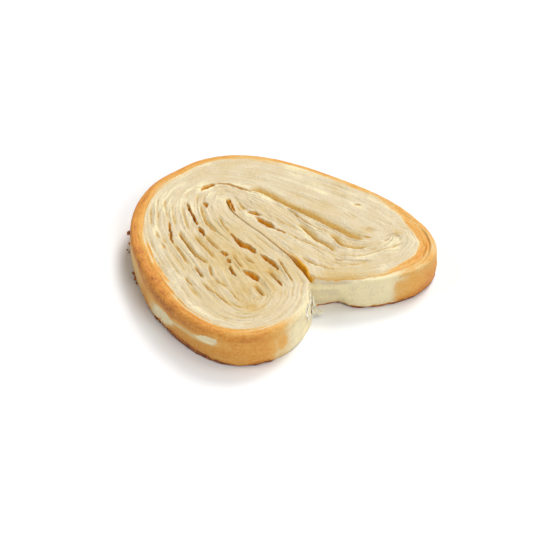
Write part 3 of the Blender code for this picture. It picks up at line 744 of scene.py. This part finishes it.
def layer_relief(sheet, insets):
    """Height of the lines between the layers: furrows with lips, steps from layer to layer, fine furrows."""
    turn, rim, bold = sheet.turn, sheet.rim, sheet.bold
    room = sheet.width - rim
    soft = 1 - INNER_SOFTNESS * sheet.inner
    total = np.zeros_like(insets)
    for n, share in enumerate(LINES):
        wiggle = wave("line_wiggle", turn, n) + wave("line_jitter", turn, n)
        off = insets - (rim + room * (share + wave("line_wander", turn, n)) + bold * wiggle)
        strength = np.clip(LINE_STRENGTH + wave("line_strength", turn, n), 0, LINE_STRONGEST)
        strength = soft * bold * strength
        total -= LINE_DEPTH * strength * ridge(off, LINE_WIDTH)
        total += LINE_LIP * strength * ridge(off + LINE_LIP_AT, LINE_LIP_WIDTH)
        step = ramp(off, -STEP_HALF, STEP_HALF) - ramp(off, STEP_HALF, STEP_FADE * room)
        total += bold * wave("line_step", turn, n) * step
    for n in range(FINE_LINES):
        share = np.random.default_rng(FINE_LINE_SEED + n).random()
        place = rim + room * (share + wave("fine_wander", turn, n)) + wave("fine_wiggle", turn, n)
        strength = soft * at_least(FAINT_FINE_LINES, bold) * np.clip(wave("fine_strength", turn, n), 0, 1)
        total -= FINE_DEPTH * strength * ridge(insets - place, FINE_WIDTH)
    return total * ramp(insets - rim, *LINES_FROM_RIM) * ramp(sheet.width - insets, *LINES_FROM_FOLD)


def top_relief(sheet, insets, xy, calm):
    """Relief of the top face: the layers, streaks along them, broad waves, lumps and grain."""
    turn = sheet.turn
    inward = ramp(insets, *INWARD)
    from_fold = ramp(sheet.width - insets, *STREAKS_FROM_FOLD)
    fine = streaks("fine", turn, insets) + streaks("finest", turn, insets)
    fine = fine * at_least(FAINT_STREAKS, sheet.bold) * at_least(CALM_STREAKS, calm) * from_fold
    broad = streaks("broad", turn, insets) * from_fold + lattice("broad", xy)
    lumps = lattice("lumps", xy) + lattice("small_lumps", xy)
    lumps = lumps * at_least(FAINT_LUMPS, sheet.bold) * inward
    layers = layer_relief(sheet, insets) * calm
    return (layers + fine + broad) * at_least(RIM_RELIEF, inward) + lattice("grain", xy) + lumps


def local_average(xy, heights):
    """Average height round each place, from boxes of cells twice blurred."""
    places = ((xy + LATTICE_HALF) / AVERAGE_CELL).astype(int)
    size = int(2 * LATTICE_HALF / AVERAGE_CELL) + 1
    flat = (places[..., 0] * size + places[..., 1]).ravel()
    total = np.bincount(flat, heights.ravel(), size * size).reshape(size, size)
    count = np.bincount(flat, minlength=size * size).reshape(size, size).astype(float)
    shifts = range(-AVERAGE_REACH, AVERAGE_REACH + 1)
    for axis in (0, 1, 0, 1):
        total = sum(np.roll(total, shift, axis) for shift in shifts)
        count = sum(np.roll(count, shift, axis) for shift in shifts)
    return (total / np.maximum(count, 1))[places[..., 0], places[..., 1]]


def top_amber_and_shade(sheet, insets, xy, heights, amber):
    """How amber the top face is: painted shade in valleys and low places, a painted highlight where it is
    raised, and its own tone in patches and in uneven streaks.
    """
    sunk = local_average(xy, heights) - heights
    # Painted shade where the top is sunk, and a painted highlight, paler, where it is raised
    amber = np.maximum(amber, ramp(sunk, *SUNK_SHADE)) - RAISED_HIGHLIGHT_STRENGTH * ramp(-sunk, *RAISED_HIGHLIGHT)
    amber = amber * ramp(insets, *INWARD)
    uneven = TOP_AMBER + lattice("amber", xy) + streaks("amber", sheet.turn, insets)
    return amber + mounds(xy, AMBER_PATCHES) + uneven * ramp(insets, *AMBER_INWARD)


def top_surface(sheet):
    """Insets, places, heights and colours of the rows from the wall's top over the rim to the fold line."""
    angles = np.linspace(0, math.pi / 2, RIM_ROWS)[:, None]
    shares = np.linspace(0, 1, TOP_ROWS + 1)[1:, None]
    insets = np.vstack([sheet.rim * (1 - np.cos(angles)), sheet.rim + (sheet.width - sheet.rim) * shares])
    drop = np.vstack([sheet.rim * (1 - np.sin(angles)), 0 * shares * sheet.rim])
    xy = sheet.point(insets)
    carving = Carving(xy)
    heights = thickness(xy) - drop + carving.change * ramp(insets, *CARVING_INWARD)
    heights += top_relief(sheet, insets, xy, carving.calm)
    amber = top_amber_and_shade(sheet, insets, xy, heights, carving.amber)
    # Deep amber painted as shade in the open seam
    seam_shade = look_up(SEAM_SHADE, sheet.turn) * (1 - ramp(insets, *SEAM_SHADE_INWARD)) * (sheet.inner > 0)
    return insets, xy, heights, amber, np.maximum(carving.pit, seam_shade)


def wall_surface(sheet):
    """Insets, heights and fractions of the way up of the wall's rows below the rim's first one."""
    turn = sheet.turn
    tuck = mound(sheet.edge, *RIGHT_TUCK) * (1 - sheet.left)
    flare = mound(sheet.edge, *LEFT_FLARE) * sheet.left
    shares = (np.linspace(0, 1, WALL_ROWS + 1)[:-1, None] ** WALL_ROW_GROWTH) * np.ones(len(sheet.edge))
    across = WALL_ACROSS * shares
    low = (1 - shares) ** WALL_LEAN
    lumps = streaks("wall_lumps", turn, across) + streaks("wall_grain", turn, across)
    flaky = look_up(FLAKY_WALL, turn) * streaks("wall_flakes", turn, across)
    insets = look_up(WALL, shares) + (tuck - flare) * low
    insets += (lumps + flaky) * np.sin(math.pi * shares) ** WALL_FULLNESS
    insets += low ** FOOT_RAGGED * streaks("wall_foot", turn, across)
    return insets, (thickness(sheet.edge) - sheet.rim) * shares, shares


def rim_toast(sheet, insets):
    """Browning of the top face near its edge: a band with a flaky inner boundary and a darker outer ridge."""
    turn = sheet.turn
    width, inner, outer = (look_up(BANDS, turn, n) for n in (1, 2, 3))
    width = width * (1 + wave("band_width", turn)) + streaks("band_edge", turn, insets)
    amount = outer + (inner - outer) * ramp(insets, BAND_OUTER * width, BAND_INNER * width)
    mottle = streaks("band_mottle", turn, insets) + streaks("band_grain", turn, insets)
    return (amount + mottle * ramp(amount, 0.0, FAINT_BROWNING)) * ramp(width - insets, *BAND_FADE)


def wall_toast(sheet, shares):
    """Browning of the wall: golden, with pale patches where the dough was covered, and a scorched foot."""
    turn, across = sheet.turn, WALL_ACROSS * shares
    amount = look_up(WALL_BROWNING, turn)
    uneven = streaks("wall_patches", turn, across)
    for place, share, length, height, change in WALL_PATCHES:
        off = np.hypot((turn - place) / length, (shares - share) / height) + uneven
        amount = amount + change * (1 - ramp(off, *PATCH_FADE))
    amount = amount + (look_up(BANDS, turn, 3) - amount) * ramp(shares, WALL_RIDGE, 1.0) * (amount > 0)
    amount = np.maximum(amount, 0) + wave("wall_toast", turn) * (amount > BROWNED)
    foot = look_up(SCORCH, turn) * (1 + streaks("scorch", turn, across))
    burnt = (1 - ramp(shares, foot / 2, foot + SCORCH_FADE)) * (foot > 0)
    return amount + (SCORCHED - amount) * burnt


def add_object(name, data):
    """New object in the scene."""
    thing = bpy.data.objects.new(name, data)
    bpy.context.scene.collection.objects.link(thing)
    return thing


def add_mesh(name, places, faces, material, **looks):
    """Mesh object in the scene, with the looks that its vertices carry."""
    mesh = bpy.data.meshes.new(name)
    mesh.from_pydata(places.tolist(), [], faces)
    for label, values in looks.items():
        layer = mesh.attributes.new(label, "FLOAT", "POINT")
        layer.data.foreach_set("value", values.astype(np.float32))
    mesh.materials.append(material)
    return add_object(name, mesh)


class Shell:
    """Vertices with their looks, and faces, of the whole pastry, before it is split into pieces."""

    def __init__(self, middle):
        self.middle = middle
        self.places, self.looks, self.faces, self.groups = [], [], [], []
        self.count = 0

    def row(self, xy, z, **looks):
        """Add a row of vertices and return their numbers."""
        self.places.append(np.c_[xy - self.middle, z] * MM)
        columns = [np.broadcast_to(looks.get(name, 0.0), len(xy)) for name in LOOKS]
        self.looks.append(np.array(columns, float).T)
        self.count += len(xy)
        return np.arange(self.count - len(xy), self.count)

    def add_faces(self, corners, group):
        """Add rows of four corners to a group of faces."""
        self.faces.append(corners)
        self.groups.append(np.full(len(corners), group))

    def bridge(self, lower, upper, group):
        """Faces between two loops."""
        self.add_faces(np.c_[np.roll(lower, -1), lower, upper, np.roll(upper, -1)], group)

    def normals(self):
        """Smooth normal at each vertex."""
        places, faces = np.vstack(self.places), np.vstack(self.faces)
        a, b, c, d = (places[faces[:, n]] for n in range(4))
        facing = np.cross(c - a, d - b)
        total = np.zeros_like(places)
        for n in range(4):
            for axis in range(3):
                total[:, axis] += np.bincount(faces[:, n], facing[:, axis], len(places))
        return total / np.maximum(np.linalg.norm(total, axis=1, keepdims=True), TINY)

    def piece(self, name, group, material, normals):
        """One group of faces as an object."""
        faces = np.vstack(self.faces)[np.concatenate(self.groups) == group]
        used, numbers = np.unique(faces, return_inverse=True)
        corners = []
        for face in numbers.reshape(-1, 4).tolist():
            face = [corner for n, corner in enumerate(face) if corner != face[n - 1]]
            if len(face) > 2:
                corners.append(face)
        looks = dict(zip(LOOKS, np.vstack(self.looks)[used].T))
        piece = add_mesh(name, np.vstack(self.places)[used], corners, material, **looks)
        piece.data.shade_smooth()
        piece.data.normals_split_custom_set_from_vertices(normals[used].tolist())
        return piece


def merge_fold(shell, sheet, row):
    """Join the vertices of a row that lies on the fold line twice, in the faces added last."""
    first = {}
    swap = {}
    for vertex, place in zip(row.tolist(), sheet.place.tolist()):
        swap[vertex] = first.setdefault(place, vertex)
    shell.faces[-1] = np.vectorize(lambda corner: swap.get(corner, corner))(shell.faces[-1])


def add_top(shell, sheet):
    """Rim and top face, of which the outermost row's vertices are returned."""
    insets, xy, heights, amber, pit = top_surface(sheet)
    toast = rim_toast(sheet, insets)
    rows = []
    for n in range(len(insets)):
        rows.append(shell.row(xy[n], heights[n], toast=toast[n], amber=amber[n], pit=pit[n],
                              cross=insets[n], run=sheet.run))
    for n in range(len(rows) - 1):
        shell.bridge(rows[n], rows[n + 1], "crust" if n < CRUST_ROWS else "layers")
    merge_fold(shell, sheet, rows[-1])
    return rows[0]


def add_seam_sides(shell, sheet, top_row):
    """Sides of the gap between the lobes, down to the line midway between them."""
    line, depth = sheet.seam_line()
    # Bottom of the seam's gap, painted full amber and deep amber as its shade
    floor = shell.row(line, thickness(line) - depth, amber=1.0, pit=1.0)
    path = top_row[sheet.seam_path]
    low = floor[sheet.seam_steps]
    shell.add_faces(np.c_[path[:-1], path[1:], low[1:], low[:-1]], "crust")
    shell.add_faces(np.array([[path[0], path[-1], low[0], low[0]]]), "crust")


def add_wall(shell, sheet, wall, top_row):
    """Wall round the outside, of which the foot's vertices and places are returned."""
    insets, heights, shares = wall
    xy = sheet.point(insets)
    out = sheet.outside
    loops = []
    for n in range(len(shares)):
        across = WALL_ACROSS * shares[n]
        amber = WALL_AMBER + streaks("wall_amber", sheet.turn, across)
        amber = amber + streaks("wall_threads", sheet.turn, across)
        loops.append(shell.row(xy[n][out], heights[n][out], toast=wall_toast(sheet, shares[n])[out],
                               amber=amber[out], cross=-across[out], run=sheet.run[out]))
    loops.append(top_row[out])
    for lower, upper in zip(loops, loops[1:]):
        shell.bridge(lower, upper, "crust")
    return loops[0], xy[0]


def add_under_side(shell, sheet, foot, foot_places):
    """Under side of the slice, flat lands with shallow grooves between the turns of dough."""
    line, _ = sheet.seam_line()
    low = shell.row(line, np.full(len(line), SEAM_UNDER), toast=SEAM_UNDER_TOAST)
    ends = sheet.seam_path[[0, -1]]
    loop = np.zeros(len(sheet.edge), int)
    loop[sheet.outside] = foot
    loop[sheet.seam_path[1:-1]] = low[sheet.seam_steps[1:-1]]
    shell.add_faces(np.array([[loop[ends[1]], loop[ends[0]], low[0], low[0]]]), "crust")
    start = np.where(sheet.inner[:, None] > 0, sheet.edge, foot_places)
    start[ends] = foot_places[ends]
    fold = sheet.fold_line[sheet.place]
    for n in range(1, UNDER_ROWS + 1):
        share = n / UNDER_ROWS
        groove = sum(ridge(share - place, UNDER_GROOVE_WIDTH) for place in UNDER_GROOVES)
        across = np.full(len(start), share * UNDER_ACROSS)
        uneven = UNDER_HOLLOW * np.clip(streaks("under", sheet.turn, across) + UNDER_HOLLOWED, 0, 1)
        toast = UNDER_TOAST + streaks("under_toast", sheet.turn, across) - UNDER_GROOVE_PALER * groove
        row = shell.row(start + (fold - start) * share, UNDER_GROOVE_DEPTH * groove + uneven, toast=toast,
                        cross=UNDER_CROSS - across, run=sheet.run)
        shell.bridge(row, loop, "crust")
        loop = row
    merge_fold(shell, sheet, loop)


def build_shell(sheet, wall):
    """The whole surface of the pastry."""
    shell = Shell(sheet.middle)
    top_row = add_top(shell, sheet)
    add_seam_sides(shell, sheet, top_row)
    foot, foot_places = add_wall(shell, sheet, wall, top_row)
    add_under_side(shell, sheet, foot, foot_places)
    return shell


class Nodes:
    """Short ways to add nodes to a material."""

    def __init__(self, name):
        self.material = bpy.data.materials.new(name)
        self.material.use_nodes = True
        self.tree = self.material.node_tree
        self.shader = self.tree.nodes["Principled BSDF"]

    def link(self, source, target):
        """Set a socket to a number or colour, or link another socket to it."""
        if isinstance(source, bpy.types.NodeSocket):
            self.tree.links.new(source, target)
        else:
            target.default_value = source

    def add(self, kind, output, inputs, **settings):
        """New node with the given settings and inputs, of which one output is returned."""
        node = self.tree.nodes.new("ShaderNode" + kind)
        for name, value in settings.items():
            setattr(node, name, value)
        for socket, source in inputs.items():
            self.link(source, node.inputs[socket])
        return node.outputs[output]

    def attribute(self, label):
        """A look that each vertex carries."""
        return self.add("Attribute", "Fac", {}, attribute_name=label)

    def maths(self, operation, first, second, clamp=False):
        """A sum or product of two values."""
        return self.add("Math", "Value", {0: first, 1: second}, operation=operation, use_clamp=clamp)

    def weighted(self, start, values, weights):
        """Start plus the sum of values times their weights."""
        for value, weight in zip(values, weights):
            start = self.maths("ADD", start, self.maths("MULTIPLY", value, weight))
        return start

    def ramp(self, factor, stops):
        """Colours by a factor."""
        node = self.tree.nodes.new("ShaderNodeValToRGB")
        elements = node.color_ramp.elements
        for n, (place, colour) in enumerate(stops):
            stop = elements[n] if n < 2 else elements.new(place)
            stop.position = place
            stop.color = (*colour, 1)
        self.link(factor, node.inputs["Fac"])
        return node.outputs["Color"]

    def mix(self, factor, first, second):
        """Two colours mixed."""
        return self.add("Mix", "Result", {"Factor": factor, "A": first, "B": second}, data_type="RGBA")

    def finish(self, **inputs):
        """The material, with inputs of its shader set or linked; underscores stand for spaces in names."""
        for name, source in inputs.items():
            self.link(source, self.shader.inputs[name.replace("_", " ")])
        return self.material


def pastry_noises(nodes):
    """Fibres along the layers, and patches, grain and mottle over the whole surface."""
    along = nodes.maths("MULTIPLY", nodes.attribute("run"), FIBRE_STRETCH)
    layers = nodes.add("CombineXYZ", "Vector", {"X": nodes.attribute("cross"), "Y": along})
    position = nodes.add("TexCoord", "Object", {})
    noises = []
    kinds = ((layers, FIBRES), (position, PATCHES), (position, GRAIN), (position, MOTTLE))
    for vector, (scale, detail) in kinds:
        noises.append(nodes.add("TexNoise", "Fac", {"Vector": vector, "Scale": scale, "Detail": detail}))
    return noises


def pastry_material(name, ambers):
    """Flaky puff pastry: pale layers, amber tone and painted shade in the hollows, deep amber painted as warm
    shade in holes and the seam, browned as each vertex says.
    """
    nodes = Nodes(name)
    toast, pit = nodes.attribute("toast"), nodes.attribute("pit")
    noises = pastry_noises(nodes)
    uneven = nodes.weighted(-sum(COLOUR_WEIGHTS) / 2, noises, COLOUR_WEIGHTS)
    amber = nodes.weighted(nodes.attribute("amber"), [uneven], [AMBER_UNEVENNESS])
    # Dough colour, with deep amber painted as warm shade in holes and the seam
    pale = nodes.mix(pit, nodes.ramp(amber, ambers), nodes.ramp(pit, PIT_SHADE_COLOURS))
    held = nodes.weighted(LEAST_UNEVENNESS, [toast], [TOAST_UNEVENNESS])
    browned = nodes.maths("ADD", toast, nodes.maths("MULTIPLY", uneven, held))
    cover = nodes.maths("MULTIPLY", browned, BROWN_COVER, clamp=True)
    relief = nodes.weighted(0.0, noises, RELIEF_WEIGHTS)
    bump = {"Strength": BUMP_STRENGTH, "Distance": BUMP_DEPTH * MM, "Height": relief}
    return nodes.finish(Base_Color=nodes.mix(cover, pale, nodes.ramp(browned, BROWNING)),
                        Roughness=nodes.weighted(ROUGHNESS, [pit], [PIT_ROUGHNESS]),
                        Specular_IOR_Level=SPECULAR, Normal=nodes.add("Bump", "Normal", bump))


def add_floor():
    """Pale floor, far wider than the view."""
    material = Nodes("floor").finish(Base_Color=FLOOR_COLOUR, Roughness=FLOOR_ROUGHNESS)
    corners = np.array([(-1, -1, 0), (1, -1, 0), (1, 1, 0), (-1, 1, 0)]) * FLOOR_HALF
    add_mesh("floor", corners, [(0, 1, 2, 3)], material)


def towards(turn, height):
    """Unit vector at a turn from the camera's right and an angle above the floor, in degrees."""
    turn, height = math.radians(turn + CAMERA_AZIMUTH), math.radians(height)
    return Vector((math.cos(turn) * math.cos(height), math.sin(turn) * math.cos(height), math.sin(height)))


def add_lamp(name, turn, height, power, softness):
    """Wide soft lamp."""
    data = bpy.data.lights.new(name, "SUN")
    data.energy = power
    data.angle = math.radians(softness)
    lamp = add_object(name, data)
    lamp.rotation_euler = towards(turn, height).to_track_quat("Z", "Y").to_euler()


def add_light():
    """Soft studio light: four wide lamps and a faint white surround."""
    world = bpy.data.worlds.new("studio")
    world.use_nodes = True
    world.node_tree.nodes["Background"].inputs["Color"].default_value = (1, 1, 1, 1)
    world.node_tree.nodes["Background"].inputs["Strength"].default_value = SURROUND
    bpy.context.scene.world = world
    for lamp in LAMPS:
        add_lamp(*lamp)


def add_camera(middle):
    """Camera at the photograph's angle."""
    data = bpy.data.cameras.new("camera")
    data.lens = CAMERA_LENS
    data.clip_start = CAMERA_CLIP
    camera = add_object("camera", data)
    target = Vector((CAMERA_TARGET[0] - middle[0], CAMERA_TARGET[1] - middle[1], 0)) * MM
    back = towards(-90, CAMERA_ELEVATION)
    camera.location = target + back * CAMERA_DISTANCE * MM
    camera.rotation_euler = back.to_track_quat("Z", "Y").to_euler()
    bpy.context.scene.camera = camera


def outside_wall(sheet, wall, turn, height, away):
    """Place at a height and a distance out from the wall, and the direction in from the edge there."""
    insets, heights, _ = wall
    column = sheet.outside[np.abs(sheet.turn[sheet.outside] - turn).argmin()]
    inset = np.interp(height, heights[:, column], insets[:, column])
    inward = sheet.across[column]
    return sheet.edge[column] + inward * (inset - away) - sheet.middle, inward


def small_ball():
    """Places and faces of a ball of radius 1 with few sides."""
    ball = bmesh.new()
    bmesh.ops.create_icosphere(ball, subdivisions=1, radius=1)
    places = np.array([vertex.co for vertex in ball.verts])
    faces = np.array([[vertex.index for vertex in face.verts] for face in ball.faces])
    ball.free()
    return places, faces


def burnt_crumbs(sheet, wall, material):
    """Burnt crumbs stuck along the foot of the wall, single burnt bits, and loose crumbs on the floor."""
    rng = np.random.default_rng(CRUMB_SEED)
    spots = list(BURNT_BITS)
    for start, end, count in FOOT_CRUMBS:
        for turn in rng.uniform(start, end, count):
            spots.append((turn, rng.uniform(*CRUMB_AWAY), CRUMB_HEIGHT, rng.uniform(*CRUMB_RADII)))
    ball, sides = small_ball()
    places, faces, toasts = [], [], []
    for turn, away, height, radius in spots:
        centre, _ = outside_wall(sheet, wall, turn, height, away)
        shape = ball * radius * rng.uniform(*CRUMB_LUMPS, (len(ball), 1)) * rng.uniform(*CRUMB_STRETCH, 3)
        shape[:, 2] += max(height, -shape[:, 2].min())
        faces.append(sides + len(ball) * len(places))
        places.append(shape + [*centre, 0])
        toasts.append(np.full(len(ball), rng.uniform(*CRUMB_TOAST)))
    return add_mesh("burnt_crumbs", np.vstack(places) * MM, np.vstack(faces).tolist(), material,
                    toast=np.concatenate(toasts))


def flake_faces(grid):
    """Faces of a flake's two sides and rim, from the numbers of the vertices of its first side."""
    cells = np.stack([grid[:-1, :-1], grid[1:, :-1], grid[1:, 1:], grid[:-1, 1:]], axis=-1).reshape(-1, 4)
    rim = np.r_[grid[0, :-1], grid[:-1, -1], grid[-1, :0:-1], grid[:0:-1, 0]]
    border = np.c_[rim, np.roll(rim, -1), np.roll(rim, -1) + grid.size, rim + grid.size]
    return np.vstack([cells[:, ::-1], cells + grid.size, border])


def ripples(rng, u, v, *kinds):
    """Sum of waves over a flake, each from its own start."""
    return sum(size * np.sin(a * u + b * v + rng.uniform(0, RIPPLE_START)) for size, a, b in kinds)


def flake_sides(rng, u, v, centre, inward, lean, wide, tall):
    """Places of a flake's two sides."""
    lean, twist = math.radians(lean), rng.uniform(-FLAKE_TWIST, FLAKE_TWIST)
    outward = -np.array([*inward, 0.0])
    along = np.array([-outward[1], outward[0], twist])
    lift = math.cos(lean) * np.array([0, 0, 1.0]) + math.sin(lean) * outward
    facing = np.cross(along, lift)
    ragged = 1 + ripples(rng, u, v, *SIDE_RIPPLES)
    taper = FLAKE_WIDTH + FLAKE_TAPER * rng.uniform(-1, 1) * v + ripples(rng, u, v, END_RIPPLE)
    crinkle = ripples(rng, u, v, *CRINKLES) - FLAKE_CURL * (wide * wide * u * u + v * v)
    shape = (wide * u * ragged)[..., None] * along + (tall * v * taper)[..., None] * lift
    top = (shape + crinkle[..., None] * facing + centre).reshape(-1, 3)
    top[:, 2] = np.maximum(top[:, 2], FLAKE_THICKNESS)
    return top, top - facing * FLAKE_THICKNESS


def torn_flakes(sheet, wall, material):
    """Thin crinkled flakes of pale dough, torn loose in the notch."""
    rng = np.random.default_rng(FLAKE_SEED)
    flakes = list(FLAKES)
    for _ in range(SMALL_FLAKES):
        flakes.append([rng.uniform(*limits) for limits in SMALL_LIMITS])
    u, v = np.meshgrid(*[np.linspace(-0.5, 0.5, FLAKE_CELLS + 1)] * 2, indexing="ij")
    sides = flake_faces(np.arange(u.size).reshape(u.shape))
    places, faces = [], []
    for n, (height, turn, away, lean, wide, tall) in enumerate(flakes):
        centre, inward = outside_wall(sheet, wall, turn, height, away)
        places.extend(flake_sides(rng, u, v, [*centre, height], inward, lean, wide, tall))
        faces.append(sides + 2 * u.size * n)
    places = np.vstack(places) * MM
    piece = add_mesh("torn_flakes", places, np.vstack(faces).tolist(), material, toast=np.zeros(len(places)))
    piece.data.shade_smooth()
    piece.data.set_sharp_from_angle(angle=math.radians(FLAKE_SHARP))
    return piece


def add_pastry(sheet):
    """The pastry itself, as two pieces with one smooth surface, and its crumbs and flakes."""
    wall = wall_surface(sheet)
    shell = build_shell(sheet, wall)
    normals = shell.normals()
    pastry = pastry_material("puff_pastry", AMBERS)
    torn = pastry_material("torn_dough", TORN)
    for name, group in (("flaky_layers", "layers"), ("crust", "crust")):
        piece = shell.piece(name, group, pastry, normals)
        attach(piece, BODY)
        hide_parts(NODE)
    for piece in (burnt_crumbs(sheet, wall, pastry), torn_flakes(sheet, wall, torn)):
        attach(piece, BODY)


sheet = Sheet()
add_pastry(sheet)
add_floor()
add_light()
add_camera(sheet.middle)
bpy.context.scene.view_settings.view_transform = "Standard"
